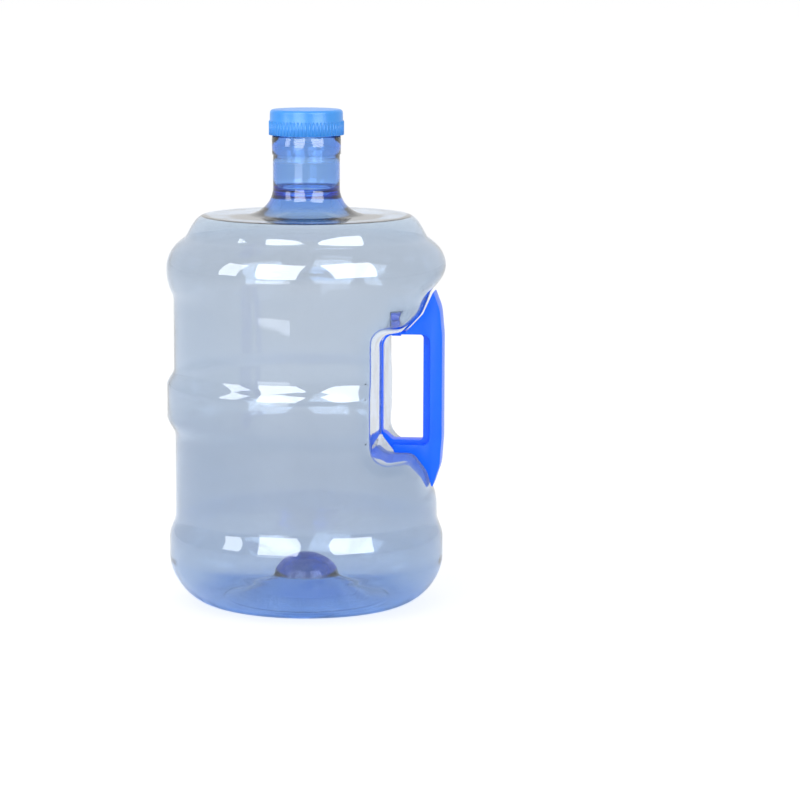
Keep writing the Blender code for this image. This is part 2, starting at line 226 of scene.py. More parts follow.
def lofted(name, slices):
    # a closed solid through a row of outlines, each with as many (x, y, z) points
    count = len(slices[0])
    points = [point for outline in slices for point in outline]
    faces = []
    for row in range(len(slices) - 1):
        for i in range(count):
            j = (i + 1) % count
            faces.append((row * count + i, row * count + j, (row + 1) * count + j, (row + 1) * count + i))
    faces.append(tuple(range(count)))
    faces.append(tuple(range((len(slices) - 1) * count, len(slices) * count))[::-1])
    mesh = meshFrom(name, points, faces)
    facesOutwards(mesh)
    return mesh


def block(low, high):
    corners = [(low[0], low[2]), (high[0], low[2]), (high[0], high[2]), (low[0], high[2])]
    return lofted("block", [[(x, y, z) for x, z in corners] for y in (low[1], high[1])])


def linear(code):
    # an sRGB hex colour as linear red, green and blue
    values = [int(code[i:i + 2], 16) / 255 for i in (0, 2, 4)]
    return tuple(v / 12.92 if v <= 0.04045 else ((v + 0.055) / 1.055) ** 2.4 for v in values) + (1.0,)


def addNode(tree, kind, settings=None, links=None):
    # one node with its properties or socket values, and its links from other nodes' outputs
    made = tree.nodes.new(kind)
    for key, value in (settings or {}).items():
        if not isinstance(key, str) or key in made.inputs:
            made.inputs[key].default_value = value
        else:
            setattr(made, key, value)
    for key, output in (links or {}).items():
        tree.links.new(output, made.inputs[key])
    return made


def newMaterial(name):
    made = bpy.data.materials.new(name)
    made.use_nodes = True
    made.node_tree.nodes.clear()
    return made, made.node_tree


# Blow-moulded PET, dyed blue: a thick part is deep blue and the thin wall is nearly colourless.
clearPet = {
    "dye": "8DCCFA",            # what is left of white light
    "dyeDensity": 400.0,        # per metre of plastic
    # what one surface lets through at each height: the moulded neck and base are clearer than the blown wall,
    # the base partly as painted light against the floor's shade; the lower body from 50 to 120 mm is greyer
    # as painted shade
    "hazeAndPaintedShade": [(12.0, "EEECEA"), (50.0, "D9D9DB"), (120.0, "D9D9DB"), (170.0, "E7E6E6"), (272.0, "E7E6E6"),
             (292.0, "F6F6F4")],
    "lampTint": "F4F8FC",       # what lamps send through a wall
    "ior": 1.575,
    "roughness": 0.035,
    "waveSize": 34.0,           # the blown wall is a little uneven, in waves about this long
    "waveHeight": 0.3,
    "waveTop": (286.0, 296.0),  # the moulded neck above these heights is even
}


def makeClearPet(look):
    made, tree = newMaterial("blowMouldedPet")
    place = addNode(tree, "ShaderNodeTexCoord")
    waves = addNode(tree, "ShaderNodeTexNoise", {"Scale": 1.0 / (look["waveSize"] * mm), "Detail": 1.0},
                    {"Vector": place.outputs["Object"]})
    spot = addNode(tree, "ShaderNodeSeparateXYZ", None, {"Vector": place.outputs["Object"]})
    fadeStart, fadeEnd = look["waveTop"]
    blown = addNode(tree, "ShaderNodeMapRange", {"From Min": fadeEnd * mm, "From Max": fadeStart * mm},
                    {"Value": spot.outputs["Z"]})
    height = addNode(tree, "ShaderNodeMath", {"operation": "MULTIPLY"},
                     {0: waves.outputs["Fac"], 1: blown.outputs["Result"]})
    bump = addNode(tree, "ShaderNodeBump", {"Strength": 1.0, "Distance": look["waveHeight"] * mm},
                   {"Height": height.outputs["Value"]})
    share = addNode(tree, "ShaderNodeMath", {"operation": "DIVIDE", 1: lipHeight * mm},
                    {0: spot.outputs["Z"]})
    # the surface tint by height, with painted shade on the lower body and painted light on the base
    hazeAndPaintedShade = addNode(tree, "ShaderNodeValToRGB", None, {"Fac": share.outputs[0]})
    stops = hazeAndPaintedShade.color_ramp.elements
    while len(stops) < len(look["hazeAndPaintedShade"]):
        stops.new(1.0)
    for stop, (height, code) in zip(stops, look["hazeAndPaintedShade"]):
        stop.position, stop.color = height / lipHeight, linear(code)
    shader = addNode(tree, "ShaderNodeBsdfPrincipled", {
        "Roughness": look["roughness"], "IOR": look["ior"], "Transmission Weight": 1.0},
        {"Base Color": hazeAndPaintedShade.outputs["Color"], "Normal": bump.outputs["Normal"]})
    path = addNode(tree, "ShaderNodeLightPath")
    lamps = addNode(tree, "ShaderNodeMath", {"operation": "MAXIMUM"},
                    {0: path.outputs["Is Shadow Ray"], 1: path.outputs["Is Diffuse Ray"]})
    through = addNode(tree, "ShaderNodeBsdfTransparent", {"Color": linear(look["lampTint"])})
    surface = addNode(tree, "ShaderNodeMixShader", None,
                      {0: lamps.outputs[0], 1: shader.outputs["BSDF"], 2: through.outputs["BSDF"]})
    dye = addNode(tree, "ShaderNodeVolumeAbsorption",
                  {"Color": linear(look["dye"]), "Density": look["dyeDensity"]})
    addNode(tree, "ShaderNodeOutputMaterial", None,
            {"Surface": surface.outputs[0], "Volume": dye.outputs["Volume"]})
    return made


# Injection-moulded polyolefins, dyed through: satin, with a very fine moulded grain. The grain is drawn
# coarser than the real one, so that it shows.
roughnessSpread = 0.05          # how far the grain moves the roughness up and down


def makeMouldedPlastic(name, look):
    made, tree = newMaterial(name)
    place = addNode(tree, "ShaderNodeTexCoord")
    cloud = addNode(tree, "ShaderNodeTexNoise", {"Scale": 1.0 / (look["cloudSize"] * mm), "Detail": 2.0},
                    {"Vector": place.outputs["Object"]})
    tint = addNode(tree, "ShaderNodeMix", {"data_type": "RGBA"}, {"Factor": cloud.outputs["Fac"]})
    tint.inputs[6].default_value = linear(look["colourLow"])
    tint.inputs[7].default_value = linear(look["colourHigh"])
    grain = addNode(tree, "ShaderNodeTexNoise", {"Scale": 1.0 / (look["grainSize"] * mm), "Detail": 3.0},
                    {"Vector": place.outputs["Object"]})
    low, high = look["roughness"] - roughnessSpread, look["roughness"] + roughnessSpread
    rough = addNode(tree, "ShaderNodeMapRange", {"To Min": low, "To Max": high},
                    {"Value": grain.outputs["Fac"]})
    bump = addNode(tree, "ShaderNodeBump", {"Strength": 0.6, "Distance": look["grainHeight"] * mm},
                   {"Height": grain.outputs["Fac"]})
    shader = addNode(tree, "ShaderNodeBsdfPrincipled", {
        "IOR": look["ior"], "Specular IOR Level": look["shine"]},
        {"Base Color": tint.outputs[2], "Roughness": rough.outputs["Result"],
         "Normal": bump.outputs["Normal"]})
    addNode(tree, "ShaderNodeOutputMaterial", None, {"Surface": shader.outputs["BSDF"]})
    return made


handlePlastic = {"colourLow": "0064EE", "colourHigh": "0070FA", "cloudSize": 30.0, "grainSize": 0.5,
                 "grainHeight": 0.02, "roughness": 0.34, "ior": 1.49, "shine": 0.25}
capPlastic = {"colourLow": "348BDE", "colourHigh": "3E95E6", "cloudSize": 20.0, "grainSize": 0.5,
              "grainHeight": 0.015, "roughness": 0.3, "ior": 1.49, "shine": 0.4}
sealFoam = {"colourLow": "E6E8EC", "colourHigh": "F2F3F5", "cloudSize": 8.0, "grainSize": 0.25,
            "grainHeight": 0.05, "roughness": 0.6, "ior": 1.45, "shine": 0.5}

petFinish = makeClearPet(clearPet)
handleFinish = makeMouldedPlastic("dyedPolypropylene", handlePlastic)
capFinish = makeMouldedPlastic("capPolyethylene", capPlastic)
sealFinish = makeMouldedPlastic("foamedPolyethylene", sealFoam)
print("materials made")


def newTree(name, inputs):
    # a node tree with a mesh output and named inputs, and its input node
    tree = bpy.data.node_groups.new(name, "GeometryNodeTree")
    tree.interface.new_socket("Geometry", in_out="INPUT", socket_type="NodeSocketGeometry")
    for label, kind in inputs:
        tree.interface.new_socket(label, in_out="INPUT", socket_type="NodeSocket" + kind)
    tree.interface.new_socket("Geometry", in_out="OUTPUT", socket_type="NodeSocketGeometry")
    return tree, addNode(tree, "NodeGroupInput")


def endTree(tree, given, shape):
    # real faces, smooth, with the finish that is given
    real = addNode(tree, "GeometryNodeRealizeInstances", None, {"Geometry": shape})
    smooth = addNode(tree, "GeometryNodeSetShadeSmooth", None, {"Geometry": real.outputs["Geometry"]})
    painted = addNode(tree, "GeometryNodeSetMaterial", None, {"Geometry": smooth.outputs["Geometry"],
                                                              "Material": given.outputs["Finish"]})
    addNode(tree, "NodeGroupOutput", None, {"Geometry": painted.outputs["Geometry"]})
    return tree


def grow(name, tree, values, start=None):
    # runs a tree with its named inputs and keeps the result as a plain piece
    piece = addPiece(name, start or bpy.data.meshes.new(name))
    step = piece.modifiers.new("build", "NODES")
    step.node_group = tree
    for socket in tree.interface.items_tree:
        if socket.in_out == "INPUT" and socket.name in values:
            step[socket.identifier] = values[socket.name]
    mesh = settled(piece)
    piece.modifiers.remove(step)
    piece.data = mesh
    return piece


def ribTree():
    # upright half-sunk rods with tapered tops, standing in a ring
    tree, given = newTree("gripRibs", [
        ("Count", "Int"), ("Ring Radius", "Float"), ("Rib Radius", "Float"), ("Rib Length", "Float"),
        ("Foot Height", "Float"), ("Finish", "Material")])
    out = given.outputs
    ring = addNode(tree, "GeometryNodeMeshCircle", None,
                   {"Vertices": out["Count"], "Radius": out["Ring Radius"]})
    rod = addNode(tree, "GeometryNodeMeshCylinder", {"Vertices": 10, "Side Segments": 1},
                  {"Radius": out["Rib Radius"], "Depth": out["Rib Length"]})
    tip = addNode(tree, "GeometryNodeMeshCone", {"Vertices": 10, "Depth": 0.6 * mm, "Radius Top": 0.35 * mm},
                  {"Radius Bottom": out["Rib Radius"]})
    halfLength = addNode(tree, "ShaderNodeMath", {"operation": "MULTIPLY", 1: 0.5}, {0: out["Rib Length"]})
    tipPlace = addNode(tree, "ShaderNodeCombineXYZ", None, {"Z": halfLength.outputs[0]})
    tipUp = addNode(tree, "GeometryNodeTransform", None, {"Geometry": tip.outputs["Mesh"],
                                                          "Translation": tipPlace.outputs[0]})
    rib = addNode(tree, "GeometryNodeJoinGeometry")
    tree.links.new(rod.outputs["Mesh"], rib.inputs[0])
    tree.links.new(tipUp.outputs["Geometry"], rib.inputs[0])
    ribs = addNode(tree, "GeometryNodeInstanceOnPoints", None, {"Points": ring.outputs["Mesh"],
                                                                "Instance": rib.outputs["Geometry"]})
    middle = addNode(tree, "ShaderNodeMath", {"operation": "ADD"},
                     {0: out["Foot Height"], 1: halfLength.outputs[0]})
    ringPlace = addNode(tree, "ShaderNodeCombineXYZ", None, {"Z": middle.outputs[0]})
    raised = addNode(tree, "GeometryNodeTransform", None, {"Geometry": ribs.outputs["Instances"],
                                                           "Translation": ringPlace.outputs[0]})
    return endTree(tree, given, raised.outputs["Geometry"])


def threadTree():
    # a round ridge that climbs a right-handed helix and fades out at both ends
    tree, given = newTree("screwThread", [
        ("Turns", "Float"), ("Helix Radius", "Float"), ("Ridge Radius", "Float"), ("Climb", "Float"),
        ("Start Height", "Float"), ("Finish", "Material")])
    out = given.outputs
    helix = addNode(tree, "GeometryNodeCurveSpiral", {"Resolution": 60, "Reverse": True},
                    {"Rotations": out["Turns"], "Start Radius": out["Helix Radius"],
                     "End Radius": out["Helix Radius"], "Height": out["Climb"]})
    along = addNode(tree, "GeometryNodeSplineParameter")
    left = addNode(tree, "ShaderNodeMath", {"operation": "SUBTRACT", 0: 1.0}, {1: along.outputs["Factor"]})
    nearEnd = addNode(tree, "ShaderNodeMath", {"operation": "MINIMUM"},
                      {0: along.outputs["Factor"], 1: left.outputs[0]})
    fade = addNode(tree, "ShaderNodeMapRange", {"From Max": 0.05, "To Min": 0.25},
                   {"Value": nearEnd.outputs[0]})
    thick = addNode(tree, "GeometryNodeSetCurveRadius", None, {"Curve": helix.outputs["Curve"],
                                                               "Radius": fade.outputs["Result"]})
    section = addNode(tree, "GeometryNodeCurvePrimitiveCircle", {"Resolution": 12},
                      {"Radius": out["Ridge Radius"]})
    ridge = addNode(tree, "GeometryNodeCurveToMesh", {"Fill Caps": True},
                    {"Curve": thick.outputs["Curve"], "Profile Curve": section.outputs["Curve"]})
    if "Scale" in ridge.inputs:
        tree.links.new(fade.outputs["Result"], ridge.inputs["Scale"])
    lift = addNode(tree, "ShaderNodeCombineXYZ", None, {"Z": out["Start Height"]})
    raised = addNode(tree, "GeometryNodeTransform", None, {"Geometry": ridge.outputs["Mesh"],
                                                           "Translation": lift.outputs[0]})
    return endTree(tree, given, raised.outputs["Geometry"])


def dimpleTree():
    # small round pimples scattered evenly over the surface that is given
    tree, given = newTree("stipple", [("Spacing", "Float"), ("Pimple Radius", "Float"), ("Seed", "Int"),
                                      ("Finish", "Material")])
    out = given.outputs
    spread = addNode(tree, "GeometryNodeDistributePointsOnFaces",
                     {"distribute_method": "POISSON", "Density Max": 400000.0},
                     {"Mesh": out["Geometry"], "Distance Min": out["Spacing"], "Seed": out["Seed"]})
    pimple = addNode(tree, "GeometryNodeMeshIcoSphere", {"Subdivisions": 2}, {"Radius": out["Pimple Radius"]})
    pimples = addNode(tree, "GeometryNodeInstanceOnPoints", {"Scale": (1.0, 1.0, 0.6)},
                      {"Points": spread.outputs["Points"], "Instance": pimple.outputs["Mesh"],
                       "Rotation": spread.outputs["Rotation"]})
    return endTree(tree, given, pimples.outputs["Instances"])


bottle = {
    "steps": 176,               # round the axis
    "lowerWall": 98.4, "upperWall": 99.3, "lowerRing": 103.0,   # radii
    "footInner": 62.0, "footOuter": 71.0,
    "pushUp": 31.0, "gate": 21.0, "gateEdge": 19.0,             # the raised base and its thick round middle
    "heelTop": 35.0, "lowerRingTop": 49.5, "lowerWallBottom": 67.5, "lowerWallTop": 126.0,
    "middleRingBottom": 142.0, "middleRingTop": 164.0, "upperWallBottom": 177.0, "upperWallTop": 227.5,
    "crest": 251.7, "deck": 291.5, "deckRadius": 76.5, "flare": 46.0, "flareTop": 312.0,
    # points of the upper ring and the shoulder, and the points that the curves between them head for
    "ringFoot": (101.2, 235.3), "dip": (91.0, 274.6), "shoulder": (88.6, 278.2),
    "footControl": (99.3, 231.5), "bulgeBottomControl": (104.5, 241.9), "bulgeTopControl": (104.5, 266.2),
    "dipControl": (90.1, 275.2), "shoulderControl": (82.0, 291.5),
    "neck": 24.9, "bore": 22.4, "band": 25.7, "bandBottom": 337.0, "bandTop": 350.2, "finish": 24.2,
    "thickRootBore": 18.2, "thickRootTop": 311.0,               # the neck's root is thick and deep blue
    "wall": 0.6, "deckWall": 0.9, "rootWall": 3.4, "lowWall": 0.8, "notchWall": 0.8, "heelWall": 1.0,
    "floorWall": 1.6, "gateWall": 5.0,
    "edgeBlend": 9.0,           # how widely the notch's edge is rounded
}
ringRadius = 0.5 * (bottleHigh.x - bottleLow.x)


def outerOutline():
    b = bottle
    gateEdge, floorStart = (b["gate"], b["gateEdge"]), (b["gate"] + 3.0, b["gateEdge"] - 1.5)
    return joined(
        bend((0.0, b["pushUp"]), (0.6 * b["gate"], b["pushUp"]), gateEdge, 9),
        quarter(floorStart, (b["footInner"], 0.6), 14, "height", 1.5),
        quarter((b["footInner"], 0.6), (b["footInner"] + 2.5, 0.0), 3, "height"),
        straight((b["footInner"] + 2.5, 0.0), (b["footOuter"], 0.0), 3),
        quarter((b["footOuter"], 0.0), (b["lowerRing"], b["heelTop"]), 18, "radius", 1.12),
        straight((b["lowerRing"], b["heelTop"]), (b["lowerRing"], b["lowerRingTop"]), 4),
        softStep((b["lowerRing"], b["lowerRingTop"]), (b["lowerWall"], b["lowerWallBottom"]), 9),
        straight((b["lowerWall"], b["lowerWallBottom"]), (b["lowerWall"], b["lowerWallTop"]), 16),
        softStep((b["lowerWall"], b["lowerWallTop"]), (ringRadius, b["middleRingBottom"]), 10),
        straight((ringRadius, b["middleRingBottom"]), (ringRadius, b["middleRingTop"]), 6),
        softStep((ringRadius, b["middleRingTop"]), (b["upperWall"], b["upperWallBottom"]), 10),
        straight((b["upperWall"], b["upperWallBottom"]), (b["upperWall"], b["upperWallTop"]), 14),
        bend((b["upperWall"], b["upperWallTop"]), b["footControl"], b["ringFoot"], 6),
        bend(b["ringFoot"], b["bulgeBottomControl"], (ringRadius, b["crest"]), 9),
        bend((ringRadius, b["crest"]), b["bulgeTopControl"], b["dip"], 14),
        bend(b["dip"], b["dipControl"], b["shoulder"], 6),
        bend(b["shoulder"], b["shoulderControl"], (b["deckRadius"], b["deck"]), 11),
        straight((b["deckRadius"], b["deck"]), (b["flare"], b["deck"] + 0.4), 8),
        quarter((b["flare"], b["deck"] + 0.4), (b["neck"], b["flareTop"]), 16, "radius"),
        straight((b["neck"], b["flareTop"]), (b["neck"], b["bandBottom"] - 1.0), 4),
        [(b["band"] - 0.25, b["bandBottom"] - 0.15), (b["band"], b["bandBottom"] + 0.25),
         (b["band"], b["bandTop"] - 0.3), (b["band"] - 0.3, b["bandTop"]),
         (b["finish"] + 0.3, b["bandTop"] + 0.2), (b["finish"], b["bandTop"] + 0.6),
         (b["finish"], lipHeight - 0.6)],
        quarter((b["finish"], lipHeight - 0.6), (b["finish"] - 0.6, lipHeight), 3, "height"),
    )


def wallAt(radius, height):
    # the blown wall is thick where the plastic stretched least
    b = bottle
    if height > b["deck"] - 0.1:
        rootStart = b["flare"] + 14.0
        nearness = (rootStart - min(radius, rootStart)) / (rootStart - b["neck"])
        return b["deckWall"] + (b["rootWall"] - b["deckWall"]) * nearness ** 1.6
    if radius < b["gate"] + 4.0 and b["footInner"] > radius and height < b["heelTop"] + 2.0:
        share = min(max((radius - b["gate"] + 1.0) / 4.0, 0.0), 1.0)
        return b["gateWall"] + (b["floorWall"] - b["gateWall"]) * share
    if height < b["heelTop"]:
        share = min(max((radius - b["gate"]) / (b["lowerRing"] - b["gate"]), 0.0), 1.0)
        return b["floorWall"] + (b["heelWall"] - b["floorWall"]) * share
    share = min(max((height - b["heelTop"]) / (b["crest"] - b["heelTop"]), 0.0), 1.0)
    return b["lowWall"] + (b["wall"] - b["lowWall"]) * share


def innerOutline(outside):
    b = bottle
    points = []
    for index, (radius, height) in enumerate(outside):
        if height > b["flareTop"] - 5.0 and radius < b["flare"]:
            break
        before, after = outside[max(index - 1, 0)], outside[index + 1]
        run, rise = after[0] - before[0], after[1] - before[1]
        length = math.hypot(run, rise)
        wall = wallAt(radius, height)
        points.append((max(radius - wall * rise / length, 0.0), height + wall * run / length))
    points[0] = (0.0, points[0][1])
    points = [p for p in points if p[0] > b["thickRootBore"] + 0.6 or p[1] < 100.0]
    root = points[-1]
    return joined(
        points,
        quarter(root, (b["thickRootBore"], root[1] + 5.0), 5, "radius")[1:],
        [(b["thickRootBore"], b["thickRootTop"] - 1.0), (b["bore"] - 0.3, b["thickRootTop"] + 0.6),
         (b["bore"], b["thickRootTop"] + 1.4)],
        straight((b["bore"], b["thickRootTop"] + 1.4), (b["bore"], lipHeight - 0.5), 8),
        quarter((b["bore"], lipHeight - 0.5), (b["bore"] + 0.5, lipHeight), 3, "height"),
    )


notch = {
    "wallX": 56.8, "floor": 114.4, "ceiling": 205.2,
    "rise": 11.0,               # how much higher the ceiling is at the notch's open ends
    "reach": 120.0,             # how far the cut reaches past the bottle
    "flatHalf": 12.0,           # the ceiling is level over the handle's width
    "openAt": 80.0,             # where along Y the whole rise is reached
}
handle = {
    "halfWidth": 12.0, "rimHalfWidth": 6.5, "rimDepth": 3.2,
    "tipX": 95.9, "outerX": 103.0, "stepX": 93.8, "innerX": 88.6,
    "top": 234.8, "bottom": 90.3, "windowTop": 203.6, "windowBottom": 124.4,
    "lugX": (64.6, 71.4), "lugHalfWidth": 4.0, "lugTop": 218.6, "lugHead": 212.5, "lugHeadHalfWidth": 6.5,
    "stripX": (57.15, 58.05), "stripTop": (203.7, 202.7), "stripHalfWidth": 5.0, "stripEdge": 0.2,
    "edge": 2.2, "rimEdge": 0.8, "gap": 0.3,
}


def notchCorners(rise):
    n, h = notch, handle
    return [
        (n["reach"], h["top"] + 24.0 + rise, 0.0),
        (h["tipX"] - 1.2, h["top"] + 2.6 + 0.25 * rise, 8.0),
        (87.6, 219.8 + 0.6 * rise, 14.0),
        (76.0, n["ceiling"] + 2.0 + rise, 16.0),
        (n["wallX"], n["ceiling"] - 1.2 + rise, 11.0),
        (n["wallX"], n["floor"] + 0.3, 12.0),
        (81.5, n["floor"] + 0.3, 9.0),
        (91.0, 101.5, 20.0),
        (h["tipX"] - 0.6, h["bottom"] - 2.0, 8.0),
        (n["reach"], h["bottom"] - 26.0, 0.0),
    ]


def notchShape(growth):
    # the notch's outline where its ceiling is lowest, and how far each point moves for a whole rise
    level = np.array(rounded(grown(notchCorners(0.0), growth), 8, 10))
    lifted = np.array(rounded(grown(notchCorners(notch["rise"]), growth), 8, 10))
    return level, lifted - level


def riseAt(y):
    share = np.clip((np.abs(y) - notch["flatHalf"]) / (notch["openAt"] - notch["flatHalf"]), 0.0, 1.4)
    return share * share * (1.6 - 0.6 * share) if np.ndim(y) else float(share * share * (1.6 - 0.6 * share))


def notchDistance(points, shape):
    # how far points are outside the notch, less than zero inside it
    level, lift = shape
    result = np.empty(len(points))
    for start in range(0, len(points), 2000):
        part = points[start:start + 2000]
        outline = level[None] + riseAt(part[:, 1])[:, None, None] * lift[None]
        following = np.roll(outline, -1, axis=1)
        side, away = following - outline, part[:, None, [0, 2]] - outline
        along = np.clip((away * side).sum(2) / np.maximum((side * side).sum(2), 1e-12), 0.0, 1.0)
        gap = np.sqrt((((away - along[..., None] * side)) ** 2).sum(2).min(1))
        z, x = part[:, 2][:, None], part[:, 0][:, None]
        spans = (outline[..., 1] > z) != (following[..., 1] > z)
        rise = np.where(spans, following[..., 1] - outline[..., 1], 1.0)
        crossing = outline[..., 0] + (z - outline[..., 1]) / rise * side[..., 0]
        inside = (spans & (x < crossing)).sum(1) % 2 == 1
        result[start:start + 2000] = np.where(inside, -gap, gap)
    return result


def sideRadius(outline):
    # radius against height over the part of the body that the notch cuts
    b = bottle
    part = [(z, r) for r, z in outline if b["heelTop"] < z < b["deck"] - 2.0 and r > b["deckRadius"]]
    part.sort()
    heights, radii = zip(*part)
    return np.array(heights), np.array(radii)


def edgeField(points, side, shape, width):
    # less than zero inside the wall: the body less the notch, with a soft edge between the two
    body = np.hypot(points[:, 0], points[:, 1]) - np.interp(points[:, 2], *side)
    cut = -notchDistance(points, shape)
    near = np.maximum(width - np.abs(body - cut), 0.0) / width
    return np.maximum(body, cut) + near * near * width / 4.0


slopeStep = 0.15                # how far apart the field is read for its slope


def fieldSlope(points, side, shape, width):
    slope = np.empty_like(points)
    for axis in range(3):
        shift = np.zeros(3)
        shift[axis] = slopeStep
        ahead, behind = (edgeField(points + way * shift, side, shape, width) for way in (1, -1))
        slope[:, axis] = (ahead - behind) / (2 * slopeStep)
    return slope


def softenEdge(mesh, side, shape, width):
    # splits the long faces at the notch's edge, then moves their corners on to the soft edge
    bm = bmesh.new()
    bm.from_mesh(mesh)
    bmesh.ops.triangulate(bm, faces=bm.faces)
    for longest in (3.2, 2.0):
        where = np.array([v.co for v in bm.verts]) / mm
        body = np.abs(np.hypot(where[:, 0], where[:, 1]) - np.interp(where[:, 2], *side))
        likely = (where[:, 0] > 30.0) & (body < width)
        near = np.zeros(len(where), bool)
        near[likely] = np.abs(notchDistance(where[likely], shape)) < 0.8 * width
        bm.verts.ensure_lookup_table()
        split = [e for e in bm.edges if near[e.verts[0].index] and near[e.verts[1].index]
                 and e.calc_length() > longest * mm]
        bmesh.ops.subdivide_edges(bm, edges=split, cuts=1)
        bmesh.ops.triangulate(bm, faces=bm.faces)
        bm.verts.index_update()
    where = np.array([v.co for v in bm.verts]) / mm
    body = np.hypot(where[:, 0], where[:, 1]) - np.interp(where[:, 2], *side)
    likely = (where[:, 0] > 30.0) & (where[:, 2] > 60.0) & (where[:, 2] < 262.0)
    cut = np.full(len(where), -99.0)
    cut[likely] = -notchDistance(where[likely], shape)
    near = likely & (np.abs(body - cut) < width) & (np.maximum(body, cut) > -width)
    moving = where[near]
    for _ in range(4):
        value = edgeField(moving, side, shape, width)
        slope = fieldSlope(moving, side, shape, width)
        moving = moving - slope * (value / np.maximum((slope * slope).sum(1), 0.2))[:, None]
    where[near] = moving
    for vert, place in zip(bm.verts, where * mm):
        vert.co = place
    bm.normal_update()
    bm.to_mesh(mesh)
    bm.free()
    return near


def shellHalf(outline, growth):
    # one side of the bottle's wall as a closed solid, with the notch cut through it
    solid = turned("shell", outline + [(0.0, outline[-1][1])], bottle["steps"])
    level, lift = shape = notchShape(growth)
    rows = np.arange(-notch["reach"], notch["reach"] + 1.0, 3.0)
    slices = []
    for y in rows:
        outlineHere = level + riseAt(y) * lift
        slices.append([(x, y, z) for x, z in outlineHere])
    h = handle
    spare = h["gap"] + growth
    stem = block((h["lugX"][0] - spare, -h["lugHalfWidth"] - spare, notch["ceiling"] - 3.0),
                 (h["lugX"][1] + spare, h["lugHalfWidth"] + spare, h["lugHead"] + 1.0))
    head = block((h["lugX"][0] - spare, -h["lugHeadHalfWidth"] - spare, h["lugHead"] - spare),
                 (h["lugX"][1] + spare, h["lugHeadHalfWidth"] + spare, h["lugTop"] + spare))
    mesh = combined(solid, [lofted("notch", slices), stem, head], "DIFFERENCE")
    near = softenEdge(mesh, sideRadius(outline), shape, bottle["edgeBlend"])
    print("shell", len(mesh.vertices), "points,", int(near.sum()), "at the soft edge")
    return mesh


def makeBottle():
    outside = outerOutline()
    inside = innerOutline(outside)
    outer = shellHalf(outside, 0.0)
    inner = shellHalf(inside, bottle["notchWall"])
    bm = bmesh.new()
    bm.from_mesh(inner)
    bmesh.ops.reverse_faces(bm, faces=bm.faces)
    bm.from_mesh(outer)
    lids = [f for f in bm.faces if all(abs(v.co.z - lipHeight * mm) < 1e-6 for v in f.verts)]
    bmesh.ops.delete(bm, geom=lids, context="FACES")
    rims = [e for e in bm.edges if e.is_boundary]
    bmesh.ops.bridge_loops(bm, edges=rims)
    mesh = bpy.data.meshes.new("bottleShell")
    bm.to_mesh(mesh)
    bm.free()
    piece = addPiece("bottleShell", mesh, petFinish)
    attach(piece, "jug")
    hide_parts("bottle")
    return piece


thread = {
    "pitch": 5.0, "start": 352.8, "ridge": 1.0,
    "neckHelix": 24.45, "neckTurns": 2.1, "capHelix": 25.75, "capTurns": 1.7,
}
stipple = {"inner": 38.0, "outer": 53.0, "spacing": 2.1, "pimple": 0.55, "seed": 4}


def makeThread(name, helix, turns, lift, finish, body):
    t = thread
    piece = grow(name, threadTree(), {
        "Turns": turns, "Helix Radius": helix * mm, "Ridge Radius": t["ridge"] * mm,
        "Climb": turns * t["pitch"] * mm, "Start Height": (t["start"] + lift) * mm, "Finish": finish})
    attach(piece, body)


def makeStipple():
    # the rough ring that the mould leaves under the base
    ring = [p for p in outerOutline()
            if stipple["inner"] <= p[0] <= stipple["outer"] and p[1] < bottle["gateEdge"]]
    base = turned("baseRing", ring, 96)
    piece = grow("baseStipple", dimpleTree(), {
        "Spacing": stipple["spacing"] * mm, "Seed": stipple["seed"],
        "Pimple Radius": stipple["pimple"] * mm, "Finish": petFinish}, base)
    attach(piece, "jug")


makeBottle()
makeThread("neckThread", thread["neckHelix"], thread["neckTurns"], 0.0, petFinish, "jug")
makeStipple()
print("bottle made")


def handleCorners():
    h = handle
    return [
        (h["tipX"] + 0.2, h["top"] + 1.6, 0.6), (101.2, 223.0, 30.0), (h["outerX"], 203.0, 60.0),
        (h["outerX"], 127.0, 60.0), (101.6, 106.0, 30.0), (h["tipX"], h["bottom"] - 1.6, 0.6),
        (92.0, 102.0, 18.0), (82.0, 115.2, 9.0), (67.5, 115.2, 1.0),
        (66.0, h["windowBottom"] - h["rimDepth"], 1.5), (h["stepX"], h["windowBottom"] - h["rimDepth"], 5.0),
        (h["stepX"], h["windowTop"] + 0.6, 6.0), (72.0, h["windowTop"] + 0.6, 0.5), (76.6, 206.6, 6.0),
        (88.2, 219.0, 14.0),
    ]


def rimCorners():
    h = handle
    return [
        (98.0, 216.0, 6.0), (98.0, 108.0, 6.0), (82.0, 115.6, 5.0), (67.0, 115.6, 2.5), (58.4, 126.8, 1.5),
        (58.4, 130.6, 0.8), (61.4, 128.4, 4.0), (66.0, h["windowBottom"], 5.0),
        (h["innerX"], h["windowBottom"], 2.5), (h["innerX"], h["windowTop"], 2.5),
        (63.0, h["windowTop"] - 0.2, 0.4), (76.0, notch["ceiling"] + 0.6, 6.0),
    ]


def stripCorners():
    # the thin strip that joins the two arms along the notch's deepest wall
    h = handle
    near, far = h["stripX"]
    top, under = h["stripTop"]
    return [
        (near, 127.6, 0.0), (near, top, 10.6), (74.0, top + 2.8, 0.0), (74.0, under + 1.3, 0.0),
        (far, under, 9.7), (far, 131.5, 0.0), (59.6, 128.0, 0.0),
    ]


def moulded(corners, halfWidth, edge):
    # an outline with thickness along Y and rounded edges
    outline = rounded(corners, 7, 1)
    mesh = lofted("moulded", [[(x, y, z) for x, z in outline] for y in (-halfWidth, halfWidth)])
    piece = addPiece("work", mesh)
    rounding = piece.modifiers.new("rounding", "BEVEL")
    rounding.width, rounding.segments = edge * mm, 4
    rounding.limit_method, rounding.angle_limit = "ANGLE", math.radians(50)
    result = settled(piece)
    bpy.data.objects.remove(piece)
    return result


